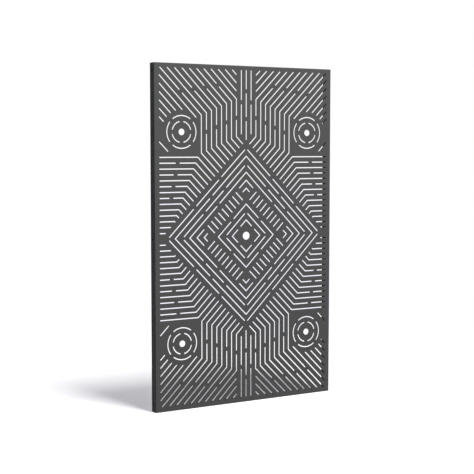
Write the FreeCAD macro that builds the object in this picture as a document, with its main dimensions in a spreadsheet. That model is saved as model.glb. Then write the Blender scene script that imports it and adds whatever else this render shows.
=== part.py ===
"""Decorative steel panel: a laser-cut face sheet on a mitred frame of four folded channels.

Millimetres, +Z up, +X to the viewer's right, front face towards -Y.
The origin is the middle of the underside, so the panel stands on Z = 0.
"""
import FreeCAD, Part

import math
import os

import Sketcher
from FreeCAD import Rotation, Vector

# Driving dimensions, in millimetres unless the name is a count.
DRIVING = [
    # Overall size of the finished panel.
    ("panel_width", 914.4),
    ("panel_height", 1524.0),
    ("panel_depth", 44.45),
    # Sheet metal.
    ("face_thickness", 1.9),
    ("frame_thickness", 1.9),
    ("bend_radius", 1.0),
    ("lip_width", 12.7),
    ("flange_setback", 2.3),
    # Cut pattern of the face.
    ("side_margin", 22.9),
    ("end_margin", 19.3),
    ("slot_width", 4.8),
    ("slot_pitch", 25.4),
    ("bridge_gap", 19.0),
    ("hub_hole_diameter", 36.0),
    ("corner_hole_diameter", 28.6),
    ("corner_hole_side_inset", 130.6),
    ("corner_hole_end_inset", 296.2),
    # Bolt holes through the stiles.
    ("bolt_hole_diameter", 9.5),
    ("bolt_hole_end", 36.0),
    # Corner brackets.
    ("bracket_leg", 74.0),
    ("bracket_thickness", 2.5),
    ("bracket_bend_radius", 2.5),
    ("bracket_gap", 1.5),
    # Flush rivets of the corner brackets.
    ("rivet_diameter", 4.8),
    ("rivet_head_diameter", 8.0),
    ("rivet_head_depth", 1.2),
    ("rivet_bulb_diameter", 7.2),
    ("rivet_bulb_length", 5.0),
    ("rivet_near_end", 17.0),
    ("rivet_far_end", 60.0),
    ("rivet_clearance", 0.1),
    # Welded studs of the face sheet, with their washers and nuts.
    ("stud_diameter", 4.0),
    ("stud_length", 9.0),
    ("stud_base_diameter", 5.5),
    ("stud_base_thickness", 0.8),
    ("stud_hole_clearance", 0.9),
    ("stud_end", 120.0),
    ("stile_stud_count", 6),
    ("rail_stud_count", 4),
    ("washer_diameter", 9.0),
    ("washer_thickness", 0.8),
    ("washer_clearance", 0.3),
    ("nut_across_flats", 7.0),
    ("nut_height", 3.2),
    ("thread_clearance", 0.1),
    # How far a cut runs past the metal.
    ("overrun", 5.0),
]

# Sizes that follow from the driving ones.
FOLLOWING = [
    ("channel_depth", "=panel_depth - face_thickness"),
    ("flange_width", "=end_margin - flange_setback"),
    ("fold_reach", "=frame_thickness + bend_radius"),
    ("stud_inset", "=(fold_reach + flange_width) / 2"),
    ("bracket_height", "=channel_depth - 2 * (fold_reach + bracket_gap)"),
    ("rivet_grip", "=frame_thickness + bracket_thickness"),
]

# Cut pattern, in turns of the slot pitch out from the hub.
FIRST_TURN = 2
PICKET_TURNS = (5, 7)
# Radii of the two rings round each corner hole, as shares of the slot pitch.
RING_SHARES = (1.8, 2.8)
RING_PIECES = 4
# The shortest slot that is cut, and the longest that needs no bridge, as shares of the slot pitch.
SHORTEST_SLOT_SHARE = 0.75
LONGEST_SLOT_SHARE = 5
# Where the long slots are bridged, as shares of their length.
SPINE_BRIDGE_SHARES = (0.3, 0.7)
BESIDE_SPINE_BRIDGE_SHARES = (0.5,)
SIDE_BRIDGE_SHARES = (1 / 3, 2 / 3)

document = FreeCAD.newDocument("decorative_panel")
sheet = document.addObject("Spreadsheet::Sheet", "Sizes")
for row, (alias, content) in enumerate(DRIVING + FOLLOWING, start=1):
    sheet.set(f"A{row}", alias)
    sheet.set(f"B{row}", str(content))
    sheet.setAlias(f"B{row}", alias)
document.recompute()
size = {alias: float(sheet.get(alias)) for alias, content in DRIVING + FOLLOWING}

parts = []


def keep(piece, label, placement=None):
    """Name a finished sub-part, set it in its place and list it for writing."""
    piece.Label = label
    if placement is not None:
        piece.Placement = placement
    parts.append(piece)
    return piece


def value(expression):
    """The number that an expression on the sheet gives."""
    return float(sheet.evalExpression(expression))


# Sketches and features


def new_sketch(body, role, name):
    """An empty sketch on one of the body's own origin planes."""
    plane = next(item for item in body.Origin.OriginFeatures if item.Role == role)
    sketch = body.newObject("Sketcher::SketchObject", name)
    sketch.AttachmentSupport = (plane, [""])
    sketch.MapMode = "FlatFace"
    return sketch


def pin_point(sketch, geometry, point, across, up):
    """Tie one point of a sketch to the sheet: its distances from the sketch's origin."""
    origin, horizontal_axis, vertical_axis = -1, -1, -2
    for kind, axis, expression in (("DistanceX", vertical_axis, across), ("DistanceY", horizontal_axis, up)):
        if expression == "0":
            sketch.addConstraint(Sketcher.Constraint("PointOnObject", geometry, point, axis))
            continue
        rule = Sketcher.Constraint(kind, origin, 1, geometry, point, value(expression))
        index = sketch.addConstraint(rule)
        sketch.setExpression(f"Constraints[{index}]", expression)


def draw_outline(body, role, name, corners):
    """A closed outline of straight edges through corners given as expressions."""
    sketch = new_sketch(body, role, name)
    places = [Vector(value(across), value(up), 0) for across, up in corners]
    for start, end in zip(places, places[1:] + places[:1]):
        sketch.addGeometry(Part.LineSegment(start, end))
    for index, (across, up) in enumerate(corners):
        following = (index + 1) % len(corners)
        sketch.addConstraint(Sketcher.Constraint("Coincident", index, 2, following, 1))
        pin_point(sketch, index, 1, across, up)
    return sketch


def draw_circles(body, role, name, diameter, centres):
    """Equal circles at centres given as expressions."""
    sketch = new_sketch(body, role, name)
    for index, (across, up) in enumerate(centres):
        centre = Vector(value(across), value(up), 0)
        sketch.addGeometry(Part.Circle(centre, Vector(0, 0, 1), value(diameter) / 2))
        rule = sketch.addConstraint(Sketcher.Constraint("Diameter", index, value(diameter)))
        sketch.setExpression(f"Constraints[{rule}]", diameter)
        pin_point(sketch, index, 3, across, up)
    return sketch


def pad(body, sketch, length):
    """Raise a sketch by a length along its normal."""
    feature = body.newObject("PartDesign::Pad", sketch.Name + "_pad")
    feature.Profile = sketch
    feature.setExpression("Length", length)
    document.recompute()
    return feature


def cut_through(body, sketch):
    """Cut a sketch through the whole body, both ways from its plane."""
    before = body.Shape.Volume
    feature = body.newObject("PartDesign::Pocket", sketch.Name + "_cut")
    feature.Profile = sketch
    feature.Type = "ThroughAll"
    feature.Midplane = True
    document.recompute()
    if not body.Shape.Volume < before:
        raise RuntimeError(f"{feature.Name} cut nothing from {body.Name}")
    return feature


def cut_depth(body, sketch, depth, flip):
    """Cut a sketch into the body by a depth, to the side that flip chooses."""
    before = body.Shape.Volume
    feature = body.newObject("PartDesign::Pocket", sketch.Name + "_cut")
    feature.Profile = sketch
    feature.setExpression("Length", depth)
    feature.Reversed = flip
    document.recompute()
    if not body.Shape.Volume < before:
        raise RuntimeError(f"{feature.Name} cut nothing from {body.Name}")
    return feature


def round_edges(body, base, name, spots, radius):
    """Round the straight edges that pass through the given spots."""
    names = []
    for number, edge in enumerate(base.Shape.Edges, start=1):
        middle = edge.CenterOfMass
        if any((middle - spot).Length < size["bend_radius"] / 2 for spot in spots):
            names.append(f"Edge{number}")
    if len(names) != len(spots):
        raise RuntimeError(f"{name} found {len(names)} edges instead of {len(spots)}")
    feature = body.newObject("PartDesign::Fillet", name)
    feature.Base = (base, names)
    feature.setExpression("Radius", radius)
    document.recompute()
    return feature


def revolve(body, sketch):
    """Turn a half section once round the sketch's upright axis."""
    feature = body.newObject("PartDesign::Revolution", sketch.Name + "_turn")
    feature.Profile = sketch
    feature.ReferenceAxis = (sketch, ["V_Axis"])
    feature.Angle = 360
    document.recompute()
    return feature


def group(label, pattern, placements):
    """Identical fasteners as one sub-part: a group of separate solids."""
    piece = document.addObject("Part::Feature", label)
    copies = []
    for placement in placements:
        copy = pattern.Shape.copy()
        copy.Placement = placement
        copies.append(copy)
    piece.Shape = Part.makeCompound(copies)
    return keep(piece, label)


# Frame channels


def make_channel(label, length, stud_count, has_bolt_holes, placement):
    """A folded channel with mitred ends.

    Its own frame: X inward from the outside of the web, Y from front to rear, Z along the length.
    """
    body = document.addObject("PartDesign::Body", label)
    thickness = "Sizes.frame_thickness"
    depth = "Sizes.channel_depth"
    rear = f"{depth} - {thickness}"
    section = draw_outline(body, "XY_Plane", label + "_section", [
        ("0", "0"), ("Sizes.flange_width", "0"), ("Sizes.flange_width", thickness), (thickness, thickness),
        (thickness, rear), ("Sizes.lip_width", rear), ("Sizes.lip_width", depth), ("0", depth),
    ])
    blank = pad(body, section, length)

    middle = value(length) / 2
    outer_spots = [Vector(0, 0, middle), Vector(0, value(depth), middle)]
    inner = value(thickness)
    inner_spots = [Vector(inner, inner, middle), Vector(inner, value(rear), middle)]
    outside = round_edges(body, blank, label + "_outer_bends", outer_spots, "Sizes.fold_reach")
    round_edges(body, outside, label + "_inner_bends", inner_spots, "Sizes.bend_radius")

    past = "Sizes.flange_width + Sizes.overrun"
    low_mitre = draw_outline(body, "XZ_Plane", label + "_low_mitre", [
        ("0", "0"), (past, "0"), (past, past),
    ])
    cut_through(body, low_mitre)
    high_mitre = draw_outline(body, "XZ_Plane", label + "_high_mitre", [
        ("0", length), (past, f"{length} - ({past})"), (past, length),
    ])
    cut_through(body, high_mitre)

    stud_hole = draw_circles(
        body, "XZ_Plane", label + "_stud_hole", "Sizes.stud_base_diameter + Sizes.stud_hole_clearance",
        [("Sizes.stud_inset", "Sizes.stud_end")],
    )
    first_hole = cut_depth(body, stud_hole, thickness, flip=False)
    row = body.newObject("PartDesign::LinearPattern", label + "_stud_holes")
    row.Originals = [first_hole]
    row.Direction = (stud_hole, ["V_Axis"])
    row.setExpression("Length", f"{length} - 2 * Sizes.stud_end")
    row.setExpression("Occurrences", stud_count)
    body.Tip = row
    document.recompute()

    mid_depth = f"{depth} / 2"
    if has_bolt_holes:
        bolt_holes = draw_circles(body, "YZ_Plane", label + "_bolt_holes", "Sizes.bolt_hole_diameter", [
            (mid_depth, "Sizes.bolt_hole_end"),
            (mid_depth, f"{length} / 2"),
            (mid_depth, f"{length} - Sizes.bolt_hole_end"),
        ])
        cut_depth(body, bolt_holes, thickness, flip=True)

    shank = "Sizes.rivet_diameter + Sizes.rivet_clearance"
    rivet_spots = draw_circles(body, "YZ_Plane", label + "_rivet_spots", shank, [
        (mid_depth, "Sizes.rivet_near_end"),
        (mid_depth, "Sizes.rivet_far_end"),
        (mid_depth, f"{length} - Sizes.rivet_far_end"),
        (mid_depth, f"{length} - Sizes.rivet_near_end"),
    ])
    document.recompute()
    before = body.Shape.Volume
    holes = body.newObject("PartDesign::Hole", label + "_rivet_holes")
    holes.Profile = rivet_spots
    holes.Reversed = True
    holes.DepthType = "Dimension"
    holes.setExpression("Depth", thickness)
    holes.DrillPoint = "Flat"
    holes.Threaded = False
    holes.ThreadType = "None"
    holes.setExpression("Diameter", shank)
    holes.HoleCutType = "Countersink"
    holes.HoleCutCustomValues = True
    holes.setExpression("HoleCutDiameter", "Sizes.rivet_head_diameter + Sizes.rivet_clearance")
    slope = "(Sizes.rivet_head_diameter - Sizes.rivet_diameter) / (2 * Sizes.rivet_head_depth)"
    holes.setExpression("HoleCutCountersinkAngle", f"2 * atan({slope})")
    document.recompute()
    if not body.Shape.Volume < before:
        raise RuntimeError(f"{holes.Name} cut nothing from {body.Name}")
    return keep(body, label, placement)


half_width = size["panel_width"] / 2
half_height = size["panel_height"] / 2
face_back = size["face_thickness"] - size["panel_depth"] / 2
upright = Vector(0, 0, 1)
rearward = Vector(0, 1, 0)

frame_places = {
    "left": FreeCAD.Placement(Vector(-half_width, face_back, 0), Rotation()),
    "right": FreeCAD.Placement(Vector(half_width, face_back, size["panel_height"]), Rotation(rearward, 180)),
    "bottom": FreeCAD.Placement(Vector(half_width, face_back, 0), Rotation(rearward, -90)),
    "top": FreeCAD.Placement(Vector(-half_width, face_back, size["panel_height"]), Rotation(rearward, 90)),
}
members = {
    "left": ("left_stile", "Sizes.panel_height", "stile_stud_count", True),
    "right": ("right_stile", "Sizes.panel_height", "stile_stud_count", True),
    "bottom": ("bottom_rail", "Sizes.panel_width", "rail_stud_count", False),
    "top": ("top_rail", "Sizes.panel_width", "rail_stud_count", False),
}
for side, (label, length, count, has_bolt_holes) in members.items():
    make_channel(label, length, f"Sizes.{count}", has_bolt_holes, frame_places[side])


# Corner brackets and their rivets


def make_bracket(label, placement):
    """A bent angle against the inside of two webs.

    Its own frame: the webs' inner faces are X = 0 and Z = 0, and Y = 0 is its mid-height.
    """
    body = document.addObject("PartDesign::Body", label)
    leg, thickness = "Sizes.bracket_leg", "Sizes.bracket_thickness"
    section = draw_outline(body, "XZ_Plane", label + "_section", [
        ("0", "0"), (leg, "0"), (leg, thickness), (thickness, thickness), (thickness, leg), ("0", leg),
    ])
    blank = pad(body, section, "Sizes.bracket_height")
    blank.Midplane = True
    document.recompute()

    inner = value(thickness)
    outside = round_edges(
        body, blank, label + "_outer_bend", [Vector()], f"{thickness} + Sizes.bracket_bend_radius",
    )
    round_edges(body, outside, label + "_inner_bend", [Vector(inner, 0, inner)], "Sizes.bracket_bend_radius")

    hole = "Sizes.rivet_diameter + Sizes.rivet_clearance"
    ends = [f"Sizes.rivet_{end}_end - Sizes.frame_thickness" for end in ("near", "far")]
    stile_holes = draw_circles(body, "YZ_Plane", label + "_stile_holes", hole, [("0", end) for end in ends])
    cut_depth(body, stile_holes, thickness, flip=True)
    rail_holes = draw_circles(body, "XY_Plane", label + "_rail_holes", hole, [(end, "0") for end in ends])
    cut_depth(body, rail_holes, thickness, flip=True)
    bolt_hole = draw_circles(body, "YZ_Plane", label + "_bolt_hole", "Sizes.bolt_hole_diameter", [
        ("0", "Sizes.bolt_hole_end - Sizes.frame_thickness"),
    ])
    cut_depth(body, bolt_hole, thickness, flip=True)
    return keep(body, label, placement)


mid_depth = face_back + size["channel_depth"] / 2
web_inside_x = half_width - size["frame_thickness"]
web_inside_low = size["frame_thickness"]
web_inside_high = size["panel_height"] - size["frame_thickness"]
corner_places = {
    "bottom_left": (Vector(-web_inside_x, mid_depth, web_inside_low), Rotation()),
    "bottom_right": (Vector(web_inside_x, mid_depth, web_inside_low), Rotation(upright, 180)),
    "top_left": (Vector(-web_inside_x, mid_depth, web_inside_high), Rotation(Vector(1, 0, 0), 180)),
    "top_right": (Vector(web_inside_x, mid_depth, web_inside_high), Rotation(rearward, 180)),
}
for corner, (place, turn) in corner_places.items():
    make_bracket(f"corner_bracket_{corner}", FreeCAD.Placement(place, turn))

rivet = document.addObject("PartDesign::Body", "rivet")
rivet_section = draw_outline(rivet, "XZ_Plane", "rivet_section", [
    ("0", "0"),
    ("Sizes.rivet_head_diameter / 2", "0"),
    ("Sizes.rivet_diameter / 2", "Sizes.rivet_head_depth"),
    ("Sizes.rivet_diameter / 2", "Sizes.rivet_grip"),
    ("Sizes.rivet_bulb_diameter / 2", "Sizes.rivet_grip"),
    ("Sizes.rivet_bulb_diameter / 2", "Sizes.rivet_grip + Sizes.rivet_bulb_length / 2"),
    ("Sizes.rivet_diameter / 2", "Sizes.rivet_grip + Sizes.rivet_bulb_length"),
    ("0", "Sizes.rivet_grip + Sizes.rivet_bulb_length"),
])
revolve(rivet, rivet_section)


def rivet_places(right, high):
    """Two rivets through the stile and two through the rail at one corner, heads outside."""
    across = half_width if right else -half_width
    level = size["panel_height"] if high else 0
    inward_x = Vector(-1 if right else 1, 0, 0)
    inward_z = Vector(0, 0, -1 if high else 1)
    corner = Vector(across, mid_depth, level)
    places = []
    for end in (size["rivet_near_end"], size["rivet_far_end"]):
        places.append(FreeCAD.Placement(corner + inward_z * end, Rotation(upright, inward_x)))
        places.append(FreeCAD.Placement(corner + inward_x * end, Rotation(upright, inward_z)))
    return places


for corner in corner_places:
    group(f"corner_rivets_{corner}", rivet, rivet_places("right" in corner, "top" in corner))


# Studs, washers and nuts that hold the face sheet to the frame

stud = document.addObject("PartDesign::Body", "stud")
stud_section = draw_outline(stud, "XZ_Plane", "stud_section", [
    ("0", "0"),
    ("Sizes.stud_base_diameter / 2", "0"),
    ("Sizes.stud_base_diameter / 2", "Sizes.stud_base_thickness"),
    ("Sizes.stud_diameter / 2", "Sizes.stud_base_thickness"),
    ("Sizes.stud_diameter / 2", "Sizes.stud_length"),
    ("0", "Sizes.stud_length"),
])
revolve(stud, stud_section)

washer = document.addObject("PartDesign::Body", "washer")
washer_section = draw_outline(washer, "XZ_Plane", "washer_section", [
    ("(Sizes.stud_diameter + Sizes.washer_clearance) / 2", "Sizes.frame_thickness"),
    ("Sizes.washer_diameter / 2", "Sizes.frame_thickness"),
    ("Sizes.washer_diameter / 2", "Sizes.frame_thickness + Sizes.washer_thickness"),
    ("(Sizes.stud_diameter + Sizes.washer_clearance) / 2", "Sizes.frame_thickness + Sizes.washer_thickness"),
])
revolve(washer, washer_section)

# The nut is a hexagon bar end with its thread's hole, seated on the washer.
nut_bar = document.addObject("Part::Prism", "nut_bar")
nut_bar.Polygon = 6
nut_bar.setExpression("Circumradius", "Sizes.nut_across_flats / 2 / cos(30)")
nut_bar.setExpression("Height", "Sizes.nut_height")
nut_bar.setExpression("Placement.Base.z", "Sizes.frame_thickness + Sizes.washer_thickness")
nut_hole = document.addObject("Part::Cylinder", "nut_hole")
nut_hole.setExpression("Radius", "(Sizes.stud_diameter + Sizes.thread_clearance) / 2")
nut_hole.setExpression("Height", "Sizes.stud_length + Sizes.overrun")
nut = document.addObject("Part::Cut", "nut")
nut.Base = nut_bar
nut.Tool = nut_hole
document.recompute()


def stud_places(side):
    """Stud places along one frame member, on the back of the face sheet, pointing to the rear."""
    label, length, count, has_bolt_holes = members[side]
    steps = int(size[count]) - 1
    run = value(length) - 2 * size["stud_end"]
    places = []
    for step in range(steps + 1):
        along = size["stud_end"] + run * step / steps
        own_place = Vector(size["stud_inset"], 0, along)
        point = frame_places[side].multVec(own_place)
        places.append(FreeCAD.Placement(point, Rotation(upright, rearward)))
    return places


for side in members:
    for pattern, kind in ((stud, "studs"), (washer, "washers"), (nut, "nuts")):
        group(f"{side}_face_{kind}", pattern, stud_places(side))


# Cut pattern of the face sheet: centre lines of the slots in X and Z about the hub

pitch = size["slot_pitch"]
slot_half = size["slot_width"] / 2
diagonal_step = pitch * math.sqrt(2)
field_x = half_width - size["side_margin"]
field_z = half_height - size["end_margin"]
hole_x = half_width - size["corner_hole_side_inset"]
hole_z = half_height - size["corner_hole_end_inset"]
ring_radii = [share * pitch for share in RING_SHARES]
shortest_slot = SHORTEST_SLOT_SHARE * pitch
longest_slot = LONGEST_SLOT_SHARE * pitch
lozenge_turns = int((field_x - pitch / 2) / diagonal_step)
# Outside the lozenge, X + Z of the slots' near ends, and X - Z of the slanting pieces.
start_sum = (lozenge_turns + 1) * diagonal_step
ring_clear = ring_radii[-1] + pitch
last_leg = int((hole_x - ring_clear) / pitch)
last_row = int((hole_z - ring_clear) / pitch)
last_lower_offset = (last_leg - last_row) * pitch - diagonal_step / 2
last_upper_offset = hole_x - hole_z - (ring_clear + pitch) * math.sqrt(2)


def run_length(line):
    """Length of a run of straight pieces."""
    return sum(math.dist(start, end) for start, end in zip(line, line[1:]))


def point_along(line, reach):
    """The point of a run that lies a distance along it."""
    for first, second in zip(line, line[1:]):
        step = math.dist(first, second)
        if reach <= step:
            return tuple(a + (b - a) * reach / step for a, b in zip(first, second))
        reach -= step
    return line[-1]


def cut_run(line, start, end):
    """The stretch of a run between two distances along it."""
    kept = [point_along(line, start)]
    for index in range(1, len(line) - 1):
        if start < run_length(line[:index + 1]) < end:
            kept.append(line[index])
    return kept + [point_along(line, end)]


def middle_share(line, piece):
    """How far along a run the middle of one of its straight pieces lies, as a share of the run."""
    before = run_length(line[:piece + 1])
    return (before + math.dist(line[piece], line[piece + 1]) / 2) / run_length(line)


def bridged(line, shares):
    """A run, parted by bridges of metal at shares of its length if it is a long one."""
    whole = run_length(line)
    half_gap = size["bridge_gap"] / 2
    stops = [0]
    if whole > longest_slot:
        for share in shares:
            stops += [share * whole - half_gap, share * whole + half_gap]
    stops.append(whole)
    pieces = [cut_run(line, low, high) for low, high in zip(stops[::2], stops[1::2]) if high > low]
    return [piece for piece in pieces if run_length(piece) > shortest_slot]


def outside_disc(line, centre, radius):
    """The stretches of one straight line that stay outside a disc."""
    (x0, z0), (x1, z1) = line
    whole = run_length(line)
    along = ((x1 - x0) / whole, (z1 - z0) / whole)
    nearest = (centre[0] - x0) * along[0] + (centre[1] - z0) * along[1]
    off = abs((centre[0] - x0) * along[1] - (centre[1] - z0) * along[0])
    if off >= radius:
        return [line]
    half_chord = math.sqrt(radius ** 2 - off ** 2)
    stretches = [(0, min(nearest - half_chord, whole)), (max(nearest + half_chord, 0), whole)]
    return [cut_run(line, low, high) for low, high in stretches if high - low > shortest_slot]


def lozenge_lines():
    """Nested lozenges round the hub, with a band of pickets across them."""
    first_picket, last_picket = PICKET_TURNS
    end_gap = size["bridge_gap"] / 2
    upright_lines, level_lines, quarter_lines = [], [], []
    for turn in range(FIRST_TURN, lozenge_turns + 1):
        reach = turn * diagonal_step
        in_pickets = first_picket <= turn <= last_picket
        if turn % 2 and not in_pickets:
            side = [(0, reach), (reach, 0)]
            side = cut_run(side, end_gap, run_length(side) - end_gap)
            quarter_lines += bridged(side, SIDE_BRIDGE_SHARES if turn > last_picket else ())
            continue
        arm_length = (turn - first_picket) * pitch if in_pickets else turn * pitch - end_gap
        if arm_length < shortest_slot:
            continue
        arm = arm_length / math.sqrt(2)
        upright_lines.append([(-arm, reach - arm), (0, reach), (arm, reach - arm)])
        level_lines.append([(reach - arm, -arm), (reach, 0), (reach - arm, arm)])
    half_step = diagonal_step / 2
    for post in range(1 - first_picket, first_picket):
        ends = [((turn + post) * half_step, (turn - post) * half_step) for turn in PICKET_TURNS]
        quarter_lines.append(ends)
    return upright_lines, level_lines, quarter_lines


def lower_offset(leg):
    """X - Z of the slanting piece by which a leg leaves the lozenge."""
    return last_lower_offset - (last_leg - leg) * diagonal_step


def upper_offset(leg):
    """X - Z of the slanting piece by which a leg reaches the top."""
    return last_upper_offset - (last_leg - leg) * diagonal_step


def leg_lines():
    """Slots that leave the lozenge square to its sides, stand upright and slant out to the top."""
    lines = []
    for leg in range(2, last_leg + 1):
        x = leg * pitch
        lower, upper = lower_offset(leg), upper_offset(leg)
        start_x = max((start_sum + lower) / 2, size["bridge_gap"] / 2)
        end_x = min(field_z + upper, field_x)
        line = [(x, x - upper), (end_x, end_x - upper)]
        if start_x < x - slot_half:
            line = [(start_x, start_x - lower), (x, x - lower)] + line
        else:
            line = [(x, start_sum - x)] + line
        upright_piece = len(line) - 3
        lines += bridged(line, [middle_share(line, upright_piece + leg % 2)])
    return lines


def row_lines():
    """Slots that leave the lozenge square to its sides and level out to the side of the panel."""
    lines = []
    for row in range(1, last_row + 1):
        z = row * pitch
        offset = last_lower_offset + (last_row - row + 1) * diagonal_step
        start_x = (start_sum + offset) / 2
        line = [(z + offset, z), (field_x, z)]
        if start_x < z + offset - slot_half:
            line = [(start_x, start_x - offset)] + line
        else:
            line[0] = (max(start_sum - z, z + offset), z)
        if line[-2][0] < field_x - shortest_slot:
            lines += bridged(line, [middle_share(line, len(line) - 2)] if row % 2 else [])
    return lines


def hatch_lines():
    """Slanting slots beside the spine at the top, and round the rings of the corner hole."""
    lines = []
    barb_x = 2 * pitch
    offset = upper_offset(1)
    while field_z + offset > barb_x:
        lines.append([(barb_x, barb_x - offset), (field_z + offset, field_z)])
        offset -= diagonal_step
    left, low = (last_leg + 1) * pitch, (last_row + 1) * pitch
    offset = last_upper_offset + diagonal_step
    while field_x - offset > low:
        start_x = max(left, low + offset)
        end_x = min(field_x, field_z + offset)
        if start_x < end_x:
            line = [(start_x, start_x - offset), (end_x, end_x - offset)]
            lines += outside_disc(line, (hole_x, hole_z), ring_clear)
        offset += diagonal_step
    return [line for line in lines if run_length(line) > shortest_slot]


def spine_line(x, shares):
    """An upright slot near the middle line, from clear of the nearest leg to the top."""
    start_z = max(start_sum, x - lower_offset(2) + diagonal_step)
    return bridged([(x, start_z), (x, field_z)], shares)


def mirrored(lines, flip_x, flip_z):
    """The lines, with their mirror copies across the middle lines that are asked for."""
    signs_x = (1, -1) if flip_x else (1,)
    signs_z = (1, -1) if flip_z else (1,)
    return [[(x * sx, z * sz) for x, z in line] for line in lines for sx in signs_x for sz in signs_z]


def all_lines():
    """Every straight or bent slot of the face."""
    upright_lines, level_lines, quarter_lines = lozenge_lines()
    quarter_lines += leg_lines() + row_lines() + hatch_lines()
    quarter_lines += spine_line(pitch, BESIDE_SPINE_BRIDGE_SHARES)
    upright_lines += spine_line(0, SPINE_BRIDGE_SHARES)
    lines = mirrored(quarter_lines, True, True)
    lines += mirrored(upright_lines, False, True)
    lines += mirrored(level_lines, True, False)
    return lines


def slot_outline(line):
    """The closed outline of a slot about its centre line, mitred at the bends, square at the ends."""
    normals = []
    for (x0, z0), (x1, z1) in zip(line, line[1:]):
        step = math.dist((x0, z0), (x1, z1))
        normals.append(((z0 - z1) / step, (x1 - x0) / step))
    offsets = [normals[0]]
    for (ax, az), (bx, bz) in zip(normals, normals[1:]):
        scale = 1 / (1 + ax * bx + az * bz)
        offsets.append(((ax + bx) * scale, (az + bz) * scale))
    offsets.append(normals[-1])
    one_side = [(x + ox * slot_half, z + oz * slot_half) for (x, z), (ox, oz) in zip(line, offsets)]
    other_side = [(x - ox * slot_half, z - oz * slot_half) for (x, z), (ox, oz) in zip(line, offsets)]
    return closed_wire(one_side + other_side[::-1])


def face_point(x, z):
    """A point on the front of the face sheet, from its place about the hub."""
    return Vector(x, -size["panel_depth"] / 2, half_height + z)


def closed_wire(corners):
    """A closed wire of straight edges on the front of the face sheet."""
    points = [face_point(x, z) for x, z in corners]
    return Part.makePolygon(points + points[:1])


def round_hole(x, z, diameter):
    """A round hole's rim on the front of the face sheet."""
    return Part.Wire(Part.makeCircle(diameter / 2, face_point(x, z), rearward))


def ring_pieces(x, z, radius, first_angle):
    """A ring slot in equal pieces parted by bridges."""
    gap_angle = size["bridge_gap"] / radius
    step = 2 * math.pi / RING_PIECES
    wires = []
    for piece in range(RING_PIECES):
        begin = first_angle + piece * step + gap_angle / 2
        end = begin + step - gap_angle
        rims = []
        for reach in (radius - slot_half, radius + slot_half):
            angles = (begin, (begin + end) / 2, end)
            rims.append([face_point(x + reach * math.cos(a), z + reach * math.sin(a)) for a in angles])
        inner, outer = rims
        wires.append(Part.Wire([
            Part.Arc(*outer).toShape(),
            Part.makeLine(outer[-1], inner[-1]),
            Part.Arc(*inner[::-1]).toShape(),
            Part.makeLine(inner[0], outer[0]),
        ]))
    return wires


def make_face_sheet():
    """The face sheet: one flat face with every slot and hole in it, thickened to the rear."""
    rims = [slot_outline(line) for line in all_lines()]
    rims.append(round_hole(0, 0, size["hub_hole_diameter"]))
    for (place,) in mirrored([[(hole_x, hole_z)]], True, True):
        rims.append(round_hole(*place, size["corner_hole_diameter"]))
        for number, radius in enumerate(ring_radii):
            rims += ring_pieces(*place, radius, number * math.pi / RING_PIECES)
    edge = closed_wire([
        (-half_width, -half_height),
        (half_width, -half_height),
        (half_width, half_height),
        (-half_width, half_height),
    ])
    flat = Part.makeFace([edge] + rims, "Part::FaceMakerBullseye")
    piece = document.addObject("Part::Feature", "face_sheet")
    piece.Shape = flat.extrude(Vector(0, size["face_thickness"], 0))
    return keep(piece, "face_sheet")


make_face_sheet()

# Check and write

document.recompute()
for item in document.Objects:
    if "Invalid" in item.State or "Error" in item.State:
        raise RuntimeError(f"{item.Label} failed: {item.State}")
for piece in parts:
    if piece.Shape.isNull() or not piece.Shape.isValid() or not piece.Shape.Solids:
        raise RuntimeError(f"{piece.Label} has no valid solid")

os.makedirs("parts", exist_ok=True)
for piece in parts:
    piece.Shape.exportStep(f"parts/{piece.Label}.step")
    box = piece.Shape.BoundBox
    lengths = " x ".join(f"{length:.1f}" for length in (box.XLength, box.YLength, box.ZLength))
    print(f"{piece.Label}: {len(piece.Shape.Solids)} solids, {lengths} mm")
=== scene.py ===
# %% [markdown]
# # A pierced steel screen panel
#
# The panel is one flat steel sheet, cut through by a laser, on a shallow frame of four folded channels.
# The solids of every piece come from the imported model. This lesson gives them the look of the real
# thing: rims that a coat of powder has rounded, a matt charcoal finish, and bright zinc fasteners behind.

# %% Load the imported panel
import math

import bmesh
import bpy
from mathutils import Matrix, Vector


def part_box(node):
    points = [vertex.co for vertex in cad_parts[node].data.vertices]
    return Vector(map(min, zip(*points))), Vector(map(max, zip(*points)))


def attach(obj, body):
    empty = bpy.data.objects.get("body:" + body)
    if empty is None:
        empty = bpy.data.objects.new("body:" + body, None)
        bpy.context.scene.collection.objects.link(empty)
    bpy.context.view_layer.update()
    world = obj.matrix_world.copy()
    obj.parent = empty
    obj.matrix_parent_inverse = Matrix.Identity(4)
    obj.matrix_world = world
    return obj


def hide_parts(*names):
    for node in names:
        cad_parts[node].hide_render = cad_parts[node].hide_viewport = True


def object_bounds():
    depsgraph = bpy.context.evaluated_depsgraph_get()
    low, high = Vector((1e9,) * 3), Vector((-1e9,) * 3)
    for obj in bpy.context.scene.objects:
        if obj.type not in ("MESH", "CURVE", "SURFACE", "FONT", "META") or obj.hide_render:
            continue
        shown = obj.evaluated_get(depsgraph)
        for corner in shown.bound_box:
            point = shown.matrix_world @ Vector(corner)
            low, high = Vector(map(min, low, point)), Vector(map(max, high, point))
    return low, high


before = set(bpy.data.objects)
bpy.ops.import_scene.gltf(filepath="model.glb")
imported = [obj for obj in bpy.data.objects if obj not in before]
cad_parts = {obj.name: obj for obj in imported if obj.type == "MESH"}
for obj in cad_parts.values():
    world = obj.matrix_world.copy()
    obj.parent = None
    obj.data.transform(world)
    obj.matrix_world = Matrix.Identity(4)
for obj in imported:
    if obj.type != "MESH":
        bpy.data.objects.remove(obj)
scene = bpy.context.scene
millimetre = 0.001
packed_box = [list(corner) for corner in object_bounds()]
print("pieces in the packed model:", len(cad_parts))
print("packed box in metres:", packed_box)

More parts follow.
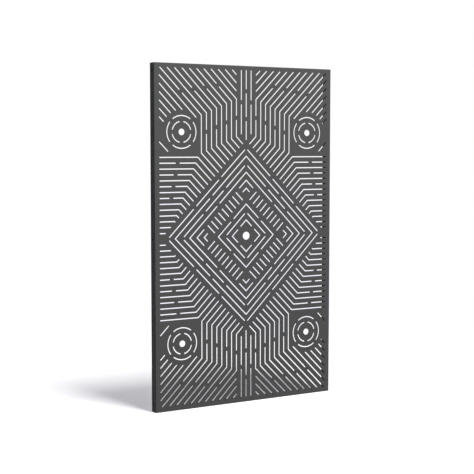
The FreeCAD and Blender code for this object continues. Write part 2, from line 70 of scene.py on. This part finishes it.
# %% [markdown]
# ## The camera
#
# The photograph looks at the panel from the left, from above its middle height and below its top. Four
# corners of the face and its round holes were enough to work out where the camera stood and how long its
# lens was, so the numbers go straight in. Nothing is shifted or blurred, because other views reuse this
# camera.

# %% Camera
film_width = 36
focal_length = 84.8
camera_place = (-2.5564, -4.368, 1.1582)
camera_tilt = math.radians(85.44)
camera_turn = math.radians(-29.99)
lens = bpy.data.cameras.new("photograph")
lens.sensor_width = film_width
lens.lens = focal_length
camera = bpy.data.objects.new("photograph", lens)
camera.location = camera_place
camera.rotation_euler = (camera_tilt, 0, camera_turn)
scene.collection.objects.link(camera)
scene.camera = camera
print("camera distance from the panel in metres:", round(camera.location.length, 2))

# %% [markdown]
# ## Nodes written as sums
#
# Both finishes and shapes are made by nodes. Adding each node by hand takes many lines, so one small
# class stands for a socket: ordinary sums on it add Math nodes, and its method called node adds any
# other one, first with its settings and then with the values or links of its sockets.


# %% A socket that can be used in sums
class Socket:
    """One socket of a node tree, for use in sums and as the input of further nodes."""

    def __init__(self, tree, end=None):
        self.tree = tree
        self.end = end

    def node(self, kind, settings=None, inputs=None, output=0):
        """Add a node: its settings first, then the values or links of its sockets."""
        added = self.tree.nodes.new(kind)
        for name, setting in (settings or {}).items():
            setattr(added, name, setting)
        for name, source in (inputs or {}).items():
            for item in source if isinstance(source, list) else [source]:
                if isinstance(item, Socket):
                    self.tree.links.new(item.end, added.inputs[name])
                else:
                    added.inputs[name].default_value = item
        return Socket(self.tree, added.outputs[output] if added.outputs else None)

    def maths(self, operation, first, second):
        """Add a Math node for two sockets or numbers."""
        return self.node("ShaderNodeMath", {"operation": operation}, {0: first, 1: second})

    def __add__(self, other):
        return self.maths("ADD", self, other)

    def __sub__(self, other):
        return self.maths("SUBTRACT", self, other)

    def __rsub__(self, other):
        return self.maths("SUBTRACT", other, self)

    def __mul__(self, other):
        return self.maths("MULTIPLY", self, other)

    __radd__ = __add__
    __rmul__ = __mul__


def new_finish(name):
    """An empty material and a socket to start its nodes from."""
    material = bpy.data.materials.new(name)
    material.use_nodes = True
    material.node_tree.nodes.clear()
    return material, Socket(material.node_tree)


print("sums ready")

# %% [markdown]
# ## Floor, background and light
#
# The photograph has a white floor with no horizon, one soft shadow to the left and a dark left side. A
# white floor under bright lamps would throw far too much light back at the panel. So the floor and the
# world show white only to the camera and to reflections, and stay dim for the light that they send to
# the panel. Near the panel the floor keeps its real light and shade, further out it fades to plain white.
# A large lamp high above the front gives the light on the face and the shadow, a weak one in front fills
# it in, and a weak one low behind lets the nuts and brackets at the back be seen from there.

# %% Floor and world
half_floor = 30
floor_corners = [(across * half_floor, along * half_floor, 0)
                 for across, along in ((-1, -1), (1, -1), (1, 1), (-1, 1))]
floor_mesh = bpy.data.meshes.new("floor")
floor_mesh.from_pydata(floor_corners, [], [(0, 1, 2, 3)])
floor = bpy.data.objects.new("floor", floor_mesh)
scene.collection.objects.link(floor)


def seen_rays(start):
    """One for rays that show a thing to the camera, straight or in a reflection, otherwise nothing."""
    rays = [start.node("ShaderNodeLightPath", output=name) for name in
            ("Is Camera Ray", "Is Glossy Ray", "Is Transmission Ray")]
    return start.maths("MINIMUM", rays[0] + rays[1] + rays[2], 1)


fade_start = 1.4
fade_end = 2.6
shade_share = 0.645
paper_white = (0.93, 0.925, 1, 1)
paper_strength = 1.085
shaded_grey = (0.97, 0.97, 0.97, 1)
dim_grey = (0.15, 0.15, 0.15, 1)
dim_sky = 0.1

paper, start = new_finish("floor_paper")
place = start.node("ShaderNodeTexCoord", output="Object")
reach = start.node("ShaderNodeVectorMath", {"operation": "LENGTH"}, {0: place}, "Value")
near = start.node("ShaderNodeMapRange", {"interpolation_type": "SMOOTHSTEP"}, {
    "Value": reach, "From Min": fade_start, "From Max": fade_end, "To Min": shade_share, "To Max": 0.0})
white = start.node("ShaderNodeEmission", inputs={"Color": paper_white, "Strength": paper_strength})
shaded = start.node("ShaderNodeBsdfDiffuse", inputs={"Color": shaded_grey})
shown = start.node("ShaderNodeMixShader", inputs={0: near, 1: white, 2: shaded})
dim = start.node("ShaderNodeBsdfDiffuse", inputs={"Color": dim_grey})
both = start.node("ShaderNodeMixShader", inputs={0: seen_rays(start), 1: dim, 2: shown})
start.node("ShaderNodeOutputMaterial", inputs={"Surface": both})
floor_mesh.materials.append(paper)

world = bpy.data.worlds.new("studio")
world.use_nodes = True
world.node_tree.nodes.clear()
scene.world = world
start = Socket(world.node_tree)
glow = dim_sky + (1 - dim_sky) * seen_rays(start)
sky = start.node("ShaderNodeBackground", inputs={"Color": (1, 1, 1, 1), "Strength": glow})
start.node("ShaderNodeOutputWorld", inputs={"Surface": sky})
print("floor and world ready")


# %% Lamps
panel_middle = (Vector(packed_box[0]) + Vector(packed_box[1])) / 2


def add_lamp(name, place, width, length, power):
    """A soft lamp of a width and a length in metres that points at the middle of the panel."""
    lamp = bpy.data.lights.new(name, "AREA")
    lamp.shape = "RECTANGLE"
    lamp.size = width
    lamp.size_y = length
    lamp.energy = power
    holder = bpy.data.objects.new(name, lamp)
    holder.location = place
    holder.rotation_euler = (panel_middle - Vector(place)).to_track_quat("-Z", "Y").to_euler()
    holder.visible_camera = False
    scene.collection.objects.link(holder)
    print(name, "watts:", power)


add_lamp("key_lamp", place=(0.53, -2.85, 8.0), width=1.5, length=2.1, power=875)
add_lamp("front_lamp", place=(0.5, -4.5, 2.6), width=2.0, length=2.0, power=90)
add_lamp("rear_lamp", place=(2.2, 4.6, 1.0), width=2.0, length=1.2, power=75)
scene.view_settings.view_transform = "Standard"

# %% [markdown]
# ## Charcoal powder coat
#
# The sheet, the channels, the brackets and the rivets were sprayed with powder and baked together. Such
# a coat is matt and nearly even, with a fine orange-peel skin of bumps about a millimetre wide, grains
# of powder in it and a trace of cloudiness. Four sizes of noise give this: a broad one for the clouds, a
# middle one for the gloss, a fine one for the skin and the finest for the grains. They are read in the
# panel's own metres, so that they are true to size on every piece.

# %% Powder coat
coat, start = new_finish("charcoal_powder_coat")
place = start.node("ShaderNodeTexCoord", output="Object")


def noise(start, place, width, detail):
    """Noise from 0 to 1, whose lumps are about a width in metres across."""
    sizes = {"Vector": place, "Scale": 1 / width, "Detail": detail}
    return start.node("ShaderNodeTexNoise", inputs=sizes)


def blend_colours(start, share, low_colour, high_colour):
    """A colour between two others, by a share from 0 to 1."""
    colour_ends = {"Factor": share, 6: low_colour, 7: high_colour}
    return start.node("ShaderNodeMix", {"data_type": "RGBA"}, colour_ends, 2)


dark_charcoal = (0.06, 0.061, 0.061, 1)
pale_charcoal = (0.092, 0.093, 0.092, 1)
skin_depth = 0.2 * millimetre
clouds = noise(start, place, width=250 * millimetre, detail=2)
mottle = noise(start, place, width=18 * millimetre, detail=3)
peel = noise(start, place, width=1.6 * millimetre, detail=2)
grain = noise(start, place, width=0.4 * millimetre, detail=1)
specks = start.node("ShaderNodeMapRange", inputs={"Value": grain, "From Min": 0.35, "From Max": 0.65})
cloudiness = 0.35 * clouds + 0.3 * mottle + 0.35 * specks
charcoal = blend_colours(start, cloudiness, dark_charcoal, pale_charcoal)
skin = start.node("ShaderNodeBump", inputs={
    "Height": 0.75 * peel + 0.25 * grain, "Strength": 0.6, "Distance": skin_depth})
dullness = 0.6 + 0.12 * mottle
surface = start.node("ShaderNodeBsdfPrincipled", inputs={
    "Base Color": charcoal, "Roughness": dullness, "Specular IOR Level": 0.1, "Normal": skin})
start.node("ShaderNodeOutputMaterial", inputs={"Surface": surface})
print("coat ready:", coat.name)

# %% [markdown]
# ## Bright zinc plate
#
# Studs, washers and nuts are plated before they are fitted, so they stay bright. Zinc is a cool grey
# metal that goes a little blotchy: patches a few millimetres wide are duller than the rest.

# %% Zinc plate
zinc, start = new_finish("bright_zinc")
place = start.node("ShaderNodeTexCoord", output="Object")
dull_zinc = (0.5, 0.51, 0.53, 1)
fresh_zinc = (0.68, 0.69, 0.68, 1)
dent_depth = 0.05 * millimetre
patches = noise(start, place, width=4 * millimetre, detail=3)
scratches = noise(start, place, width=0.3 * millimetre, detail=2)
tone = blend_colours(start, patches, dull_zinc, fresh_zinc)
dents = start.node("ShaderNodeBump", inputs={
    "Height": scratches, "Strength": 0.2, "Distance": dent_depth})
dullness = 0.28 + 0.25 * patches
surface = start.node("ShaderNodeBsdfPrincipled", inputs={
    "Base Color": tone, "Metallic": 1.0, "Roughness": dullness, "Normal": dents})
start.node("ShaderNodeOutputMaterial", inputs={"Surface": surface})
print("plate ready:", zinc.name)

# %% [markdown]
# ## Running a geometry tree
#
# Geometry Nodes make what repeats. A tree gets named inputs for its sizes. The inputs of a modifier are
# set by their identifiers, and the mesh that comes out is kept as a plain piece in place of the solid.
# Joined meshes that have no material yet get an empty slot in front of the finish, which is taken out.


# %% Trees and finished pieces
def new_tree(name, inputs):
    """An empty geometry tree, with the sockets of its group input by name."""
    tree = bpy.data.node_groups.new(name, "GeometryNodeTree")
    tree.interface.new_socket("Geometry", in_out="OUTPUT", socket_type="NodeSocketGeometry")
    tree.interface.new_socket("Geometry", in_out="INPUT", socket_type="NodeSocketGeometry")
    for title, kind in inputs.items():
        tree.interface.new_socket(title, in_out="INPUT", socket_type="NodeSocket" + kind)
    entry = tree.nodes.new("NodeGroupInput")
    return tree, {end.name: Socket(tree, end) for end in entry.outputs if end.name}


def finished_mesh(source):
    """The mesh of an object as its modifiers leave it."""
    scene.collection.objects.link(source)
    finished = source.evaluated_get(bpy.context.evaluated_depsgraph_get())
    return bpy.data.meshes.new_from_object(finished)


def grow(source, tree, values):
    """Run a tree on an object and give the mesh that it makes, with its finish as the only material."""
    modifier = source.modifiers.new(tree.name, "NODES")
    modifier.node_group = tree
    for item in tree.interface.items_tree:
        if item.in_out == "INPUT" and item.name in values:
            modifier[item.identifier] = values[item.name]
    mesh = finished_mesh(source)
    source.modifiers.remove(modifier)
    bpy.data.objects.remove(source)
    if mesh.materials[0] is None:
        mesh.materials.pop(index=0)
    return mesh


def place_piece(mesh, node, slot):
    """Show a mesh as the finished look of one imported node."""
    name = {"powder_coat": "coated_", "zinc_plate": "plated_"}[slot] + node
    piece = bpy.data.objects.new(name, mesh)
    mesh.name = name
    scene.collection.objects.link(piece)
    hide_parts(node)
    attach(piece, "root")
    print(name, "faces:", len(mesh.polygons))


print("tree helpers ready")

# %% [markdown]
# ## The rims of the face
#
# On the real sheet the laser leaves square rims, and the baked powder rounds them by a few tenths of a
# millimetre. That soft rim is what catches the light round each slot. A bevel would trip over the long
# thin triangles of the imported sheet, so its rims are read off as closed lines and the sheet is made
# again from them. Round holes and ring slots get more points on the way, so that they stay round.


# %% Read the rims
weld_distance = millimetre / 1000
front_depth = millimetre / 100


def merged_copy(node):
    """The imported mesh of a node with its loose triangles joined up."""
    joined = bmesh.new()
    joined.from_mesh(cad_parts[node].data)
    bmesh.ops.remove_doubles(joined, verts=joined.verts, dist=weld_distance)
    return joined


def front_rims(node):
    """The closed rims of a sheet's front, as lists of points across and up."""
    sheet = merged_copy(node)
    front = min(point.co.y for point in sheet.verts) + front_depth
    following = {}
    for face in sheet.faces:
        if all(point.co.y < front for point in face.verts):
            for loop in face.loops:
                edge_faces = loop.edge.link_faces
                if any(point.co.y > front for other in edge_faces for point in other.verts):
                    following[loop.vert] = loop.link_loop_next.vert
    rims = []
    while following:
        point = next(iter(following))
        rim = []
        while point in following:
            rim.append((point.co.x, point.co.z))
            point = following.pop(point)
        rims.append(rim)
    sheet.free()
    return rims


rims = front_rims("face_sheet")
print("rims on the face:", len(rims), "points:", sum(len(rim) for rim in rims))


# %% Smooth the round rims
roundness = millimetre / 20
fewest_points = 12
widest_ring = 80 * millimetre
rim_step = 1.5 * millimetre


def round_centre(rim):
    """The centre of a rim that is a full circle, or None."""
    centre = tuple(sum(values) / len(rim) for values in zip(*rim))
    reaches = [math.dist(centre, point) for point in rim]
    if len(rim) > fewest_points and max(reaches) - min(reaches) < roundness:
        return centre
    return None


def smoothed(rim, centres):
    """The rim with extra points wherever it runs round one of the centres."""
    points = []
    for start, end in zip(rim, rim[1:] + rim[:1]):
        points.append(start)
        for centre in centres:
            radius = math.dist(centre, start)
            if abs(math.dist(centre, end) - radius) > roundness or radius > widest_ring:
                continue
            low = math.atan2(start[1] - centre[1], start[0] - centre[0])
            turn = math.atan2(end[1] - centre[1], end[0] - centre[0]) - low
            turn = math.remainder(turn, 2 * math.pi)
            count = math.ceil(abs(turn) * radius / rim_step)
            for index in range(1, count):
                angle = low + turn * index / count
                across = centre[0] + radius * math.cos(angle)
                up = centre[1] + radius * math.sin(angle)
                points.append((across, up))
    return points


centres = [centre for centre in map(round_centre, rims) if centre]
rims = [smoothed(rim, centres) for rim in rims]
print("round holes:", len(centres), "points now:", sum(len(rim) for rim in rims))

# %% [markdown]
# ## The face sheet
#
# Each rim becomes a closed curve that runs with the metal on its left. Geometry Nodes sweep a profile
# along it: straight through the sheet, with a small round at the front and another at the back. The
# same curves, moved in by the radius of the round and filled, close the front and the back.

# %% Tree of the pierced sheet
sheet_tree, given = new_tree("pierced_sheet", {
    "Front": "Float", "Thickness": "Float", "Rim Radius": "Float", "Rim Steps": "Int",
    "Finish": "Material"})
start = Socket(sheet_tree)
curves = start.node("GeometryNodeSetCurveNormal", {"mode": "Z_UP"}, {"Curve": given["Geometry"]})
inset = given["Rim Radius"] * -1
corners = {
    "Point 1": start.node("ShaderNodeCombineXYZ", inputs={"X": inset}),
    "Point 2": start.node("ShaderNodeCombineXYZ"),
    "Point 3": start.node("ShaderNodeCombineXYZ", inputs={"Y": given["Thickness"]}),
    "Point 4": start.node("ShaderNodeCombineXYZ", inputs={"X": inset, "Y": given["Thickness"]}),
}
profile = start.node("GeometryNodeCurvePrimitiveQuadrilateral", {"mode": "POINTS"}, corners)
profile = start.node("GeometryNodeSetSplineCyclic", inputs={"Geometry": profile, "Cyclic": False})
profile = start.node("GeometryNodeFilletCurve", {"mode": "POLY"}, {
    "Curve": profile, "Count": given["Rim Steps"], "Radius": given["Rim Radius"], "Limit Radius": True})
walls = start.node("GeometryNodeCurveToMesh", inputs={"Curve": curves, "Profile Curve": profile})
walls = start.node("GeometryNodeSetShadeSmooth", inputs={"Geometry": walls, "Shade Smooth": True})

outward = start.node("GeometryNodeInputNormal")
inward = start.node("ShaderNodeVectorMath", {"operation": "SCALE"}, {0: outward, "Scale": inset})
narrowed = start.node("GeometryNodeSetPosition", inputs={"Geometry": curves, "Offset": inward})
front = start.node("GeometryNodeFillCurve", {"mode": "TRIANGLES"}, {"Curve": narrowed})
depth = start.node("ShaderNodeCombineXYZ", inputs={"Z": given["Thickness"] * -1})
back = start.node("GeometryNodeTransform", inputs={"Geometry": front, "Translation": depth})
back = start.node("GeometryNodeFlipFaces", inputs={"Mesh": back})
faces = start.node("GeometryNodeJoinGeometry", inputs={"Geometry": [front, back]})
faces = start.node("GeometryNodeSetShadeSmooth", inputs={"Geometry": faces, "Shade Smooth": False})

sheet = start.node("GeometryNodeJoinGeometry", inputs={"Geometry": [walls, faces]})
sheet = start.node("GeometryNodeMergeByDistance", inputs={"Geometry": sheet, "Distance": weld_distance})
standing = start.node("ShaderNodeCombineXYZ", inputs={"Y": given["Front"]})
sheet = start.node("GeometryNodeTransform", inputs={
    "Geometry": sheet, "Translation": standing, "Rotation": (math.pi / 2, 0, 0)})
sheet = start.node("GeometryNodeRealizeInstances", inputs={"Geometry": sheet})
sheet = start.node("GeometryNodeSetMaterial", inputs={"Geometry": sheet, "Material": given["Finish"]})
start.node("NodeGroupOutput", inputs={"Geometry": sheet})
print("nodes in the sheet's tree:", len(sheet_tree.nodes))

# %% Face sheet
rim_radius = 0.35 * millimetre
rim_steps = 2
lines = bpy.data.curves.new("rims", "CURVE")
for rim in rims:
    line = lines.splines.new("POLY")
    line.points.add(len(rim) - 1)
    for point, (across, up) in zip(line.points, rim):
        point.co = (across, up, 0, 1)
    line.use_cyclic_u = True
low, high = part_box("face_sheet")
mesh = grow(bpy.data.objects.new("rims", lines), sheet_tree, {
    "Front": low.y, "Thickness": high.y - low.y,
    "Rim Radius": rim_radius, "Rim Steps": rim_steps, "Finish": coat})
place_piece(mesh, "face_sheet", "powder_coat")
for made, meant in zip(zip(*[point.co for point in mesh.vertices]), zip(low, high)):
    made_ends = [round(end, 5) for end in (min(made), max(made))]
    print("face from and to:", made_ends, "packed:", [round(end, 5) for end in meant])

# %% [markdown]
# ## Folded channels and corner brackets
#
# The two stiles and two rails are sheet metal too, folded into channels and cut at 45 degrees where they
# meet. Their bends are already round in the solids. Only the cut edges are square there, so a copy of
# each mesh is joined up, its flat triangles are merged, and a small bevel rounds what is still sharp.
# At the mitres the two bevels leave the fine line that shows where one channel ends. The normals are
# weighted by the area of the faces, which keeps the wide walls flat and leaves the curving to the bends.


# %% Rounded copies
cut_edge_radius = 0.3 * millimetre
cut_edge_steps = 2
flat_angle = math.radians(0.5)
sharp_angle = math.radians(35)


def rounded_copy(node):
    """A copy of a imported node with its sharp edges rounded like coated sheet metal."""
    joined = merged_copy(node)
    bmesh.ops.dissolve_limit(joined, angle_limit=flat_angle, verts=joined.verts, edges=joined.edges)
    mesh = bpy.data.meshes.new(node)
    joined.to_mesh(mesh)
    joined.free()
    mesh.materials.append(coat)
    mesh.shade_smooth()
    blank = bpy.data.objects.new(node, mesh)
    bevel = blank.modifiers.new("cut_edges", "BEVEL")
    bevel.width = cut_edge_radius
    bevel.segments = cut_edge_steps
    bevel.limit_method = "ANGLE"
    bevel.angle_limit = sharp_angle
    bevel.use_clamp_overlap = False
    blank.modifiers.new("flat_walls", "WEIGHTED_NORMAL")
    finished = finished_mesh(blank)
    bpy.data.objects.remove(blank)
    return finished


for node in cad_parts:
    if node.endswith(("stile", "rail")) or node.startswith("corner_bracket"):
        place_piece(rounded_copy(node), node, "powder_coat")

# %% [markdown]
# ## Fasteners
#
# Every fastener of a kind is the same, so each is modelled once, pointing up the Z axis, and Geometry
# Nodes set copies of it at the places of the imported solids. A vector on each point says which way its
# fastener looks, and a random turn with a fixed seed lets nuts stop at different angles, as real ones do.

# %% Tree that repeats a fastener
repeat_tree, given = new_tree("fastener_row", {
    "Fastener": "Object", "Most Turn": "Float", "Seed": "Int", "Finish": "Material"})
start = Socket(repeat_tree)
fastener = start.node("GeometryNodeObjectInfo", inputs={"Object": given["Fastener"]}, output="Geometry")
facing = start.node("GeometryNodeInputNamedAttribute", {"data_type": "FLOAT_VECTOR"}, {"Name": "facing"})
aimed = start.node("FunctionNodeAlignRotationToVector", {"axis": "Z"}, {"Vector": facing})
turn = start.node("FunctionNodeRandomValue", {"data_type": "FLOAT"}, {
    "Max": given["Most Turn"], "Seed": given["Seed"]}, "Value")
spin = start.node("FunctionNodeAxisAngleToRotation", inputs={"Axis": (0, 0, 1), "Angle": turn})
aimed = start.node("FunctionNodeRotateRotation", {"rotation_space": "LOCAL"}, {
    "Rotation": aimed, "Rotate By": spin})
row = start.node("GeometryNodeInstanceOnPoints", inputs={
    "Points": given["Geometry"], "Instance": fastener, "Rotation": aimed})
row = start.node("GeometryNodeRealizeInstances", inputs={"Geometry": row})
row = start.node("GeometryNodeSetMaterial", inputs={"Geometry": row, "Material": given["Finish"]})
start.node("NodeGroupOutput", inputs={"Geometry": row})
print("nodes in the fasteners' tree:", len(repeat_tree.nodes))


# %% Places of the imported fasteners
turn_seed = 3


def separate_boxes(node):
    """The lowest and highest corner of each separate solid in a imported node.

    The solids come in the order of their places, so that every run turns the same nut alike.
    """
    joined = merged_copy(node)
    unread = set(joined.verts)
    boxes = []
    while unread:
        waiting = [unread.pop()]
        solid = []
        while waiting:
            point = waiting.pop()
            solid.append(point.co.copy())
            beside = {edge.other_vert(point) for edge in point.link_edges} & unread
            unread -= beside
            waiting += beside
        boxes.append([Vector(map(pick, zip(*solid))) for pick in (min, max)])
    joined.free()
    return sorted(boxes, key=lambda box: [round(value / millimetre) for value in box[0]])


def set_fasteners(node, shape, places, finish, slot, most_turn=0):
    """Set copies of a shape at places, each a point and the way that the copy looks."""
    points = bpy.data.meshes.new(node)
    points.from_pydata([point for point, facing in places], [], [])
    facings = points.attributes.new("facing", "FLOAT_VECTOR", "POINT")
    for item, (point, facing) in zip(facings.data, places):
        item.vector = facing
    model = bpy.data.objects.new("model", shape)
    scene.collection.objects.link(model)
    mesh = grow(bpy.data.objects.new(node, points), repeat_tree, {
        "Fastener": model, "Most Turn": most_turn, "Seed": turn_seed, "Finish": finish})
    bpy.data.objects.remove(model)
    place_piece(mesh, node, slot)


print("studs on the left stile:", len(separate_boxes("left_face_studs")))

# %% [markdown]
# ### A small lathe
#
# Rivets, studs, washers and nuts are all round about an axis. Cylinders with bevels would give each of
# them one kind of edge, so a profile is turned round Z instead, with a point for every step of the real
# shape. For the nut, six flats cut the round back to a hexagon.


# %% A lathe for small shapes
tip_weld_distance = millimetre / 10000
crease_angle = math.radians(32)


def turned(profile, steps, across_flats=math.inf):
    """A closed shape turned round Z from pairs of radius and height in millimetres.

    Flats, where they are given, cut its radius back to a hexagon.
    """
    shape = bmesh.new()
    rings = []
    for radius, height in profile:
        ring = []
        for step in range(steps if radius else 1):
            angle = 2 * math.pi * step / steps
            from_flat = math.remainder(angle, math.pi / 3)
            reach = min(radius, across_flats / 2 / math.cos(from_flat)) * millimetre
            place = (reach * math.cos(angle), reach * math.sin(angle), height * millimetre)
            ring.append(shape.verts.new(place))
        rings.append(ring)
    for low, high in zip(rings, rings[1:]):
        for step in range(steps):
            pair = (step, (step + 1) % steps)
            corners = [low[index % len(low)] for index in pair]
            corners += [high[index % len(high)] for index in pair[::-1]]
            shape.faces.new(dict.fromkeys(corners))
    bmesh.ops.remove_doubles(shape, verts=shape.verts, dist=tip_weld_distance)
    bmesh.ops.recalc_face_normals(shape, faces=shape.faces)
    mesh = bpy.data.meshes.new("shape")
    shape.to_mesh(mesh)
    shape.free()
    mesh.shade_smooth()
    mesh.set_sharp_from_angle(angle=crease_angle)
    return mesh


print("lathe ready")

# %% [markdown]
# ### Flush rivets
#
# Each corner has four blind rivets. Outside, the head lies level in its countersink, with the small pit
# that the setting pin leaves when it snaps. Inside, the sleeve has swollen into a bulb against the
# bracket, with the end of the pin in it. All of it is under the same coat, so it takes the same finish.

# %% Rivets
pit = [(0, -0.9), (0.9, -0.9), (1.1, -0.75), (1.15, -0.2), (1.35, -0.03)]
head = [(3.75, 0), (3.95, -0.06), (4, -0.15), (2.4, -1.25)]
bulb = [(2.4, -4.4), (3.2, -4.4), (3.55, -4.8), (3.6, -5.6), (3.4, -6.6), (2.9, -7.8), (2.45, -8.8)]
pin_end = [(2.2, -9.1), (1.5, -9.15), (1.4, -9.3), (1.1, -9.4), (0, -9.4)]
rivet_profile = pit + head + bulb + pin_end


def rivet_place(low, high):
    """The middle of a rivet's head on the outside of the frame, and the way that it looks."""
    along = max(range(3), key=lambda axis: high[axis] - low[axis])
    centre = (low + high) / 2
    facing = Vector()
    facing[along] = math.copysign(1, centre[along] - panel_middle[along])
    return centre + facing * (high[along] - low[along]) / 2, facing


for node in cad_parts:
    if node.startswith("corner_rivets"):
        places = [rivet_place(low, high) for low, high in separate_boxes(node)]
        set_fasteners(node, turned(rivet_profile, steps=32), places, coat, "powder_coat")

# %% [markdown]
# ### Studs, washers and nuts
#
# The face sheet carries welded studs that pass through the frame's front flanges. A washer and a nut on
# each pull the sheet tight. The thread is a ridge that Geometry Nodes sweep along a spiral round the
# stud. The spiral node winds to the left unless it is reversed, and the corner of the ridge then points
# at the axis. Reversed, it gives a right-hand thread with its sharp crest outside, as on a real stud.
# The nut is a hexagon whose corners a cone has cut back at both ends.

# %% Tree that cuts the thread
steps_per_turn = 20
tooth_corners = 3
thread_tree, given = new_tree("stud_thread", {
    "Crest Radius": "Float", "Pitch": "Float", "Turns": "Float", "Start": "Float", "Finish": "Material"})
start = Socket(thread_tree)
ridge = given["Pitch"] * 0.5
spiral_radius = given["Crest Radius"] - ridge
spiral = start.node("GeometryNodeCurveSpiral", inputs={
    "Resolution": steps_per_turn, "Rotations": given["Turns"], "Start Radius": spiral_radius,
    "End Radius": spiral_radius, "Height": given["Turns"] * given["Pitch"], "Reverse": True})
spiral = start.node("GeometryNodeSetCurveNormal", {"mode": "Z_UP"}, {"Curve": spiral})
tooth = start.node("GeometryNodeCurvePrimitiveCircle", inputs={
    "Resolution": tooth_corners, "Radius": ridge})
thread = start.node("GeometryNodeCurveToMesh", inputs={
    "Curve": spiral, "Profile Curve": tooth, "Fill Caps": True})
thread = start.node("GeometryNodeSetShadeSmooth", inputs={"Geometry": thread, "Shade Smooth": True})
lift = start.node("ShaderNodeCombineXYZ", inputs={"Z": given["Start"]})
thread = start.node("GeometryNodeTransform", inputs={"Geometry": thread, "Translation": lift})
stud = start.node("GeometryNodeJoinGeometry", inputs={"Geometry": [given["Geometry"], thread]})
stud = start.node("GeometryNodeRealizeInstances", inputs={"Geometry": stud})
stud = start.node("GeometryNodeSetMaterial", inputs={"Geometry": stud, "Material": given["Finish"]})
start.node("NodeGroupOutput", inputs={"Geometry": stud})
print("nodes in the thread's tree:", len(thread_tree.nodes))

# %% Stud, washer and nut
weld_base = [(0, 0), (2.75, 0), (2.75, 0.6), (2.55, 0.8), (1.75, 0.8)]
thread_core = [(1.6, 0.95), (1.6, 8.6), (1.25, 9), (0, 9)]
stud_core = turned(weld_base + thread_core, steps=24)
stud_shape = grow(bpy.data.objects.new("stud", stud_core), thread_tree, {
    "Crest Radius": 2 * millimetre, "Pitch": 0.7 * millimetre, "Turns": 9.5, "Start": 1.6 * millimetre,
    "Finish": zinc})
stud_shape.set_sharp_from_angle(angle=crease_angle)


def both_ends(profile, height):
    """A closed ring's profile, from that of its lower end and its mirror copy at the top."""
    upper_end = [(radius, height - level) for radius, level in profile[::-1]]
    return profile + upper_end + profile[:1]


washer_shape = turned(both_ends([(2.15, 0.1), (2.25, 0), (4.35, 0), (4.5, 0.15)], height=0.8), steps=48)
cone = [(3.3, 0), (3.5, 0.12), (3.67, 0.215), (3.86, 0.32), (4.05, 0.43)]
nut_profile = both_ends([(2.05, 0.35), (2.4, 0)] + cone, height=3.2)
nut_shape = turned(nut_profile, steps=48, across_flats=7)
shapes = {"studs": stud_shape, "washers": washer_shape, "nuts": nut_shape}
for kind, shape in shapes.items():
    print(kind, "faces each:", len(shape.polygons))

# %% Set them along the frame
rearward = Vector((0, 1, 0))
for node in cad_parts:
    kind = node.split("_")[-1]
    if kind in shapes:
        places = []
        for low, high in separate_boxes(node):
            seat = (low + high) / 2
            seat.y = low.y
            places.append((seat, rearward))
        set_fasteners(node, shapes[kind].copy(), places, zinc, "zinc_plate", most_turn=2 * math.pi)
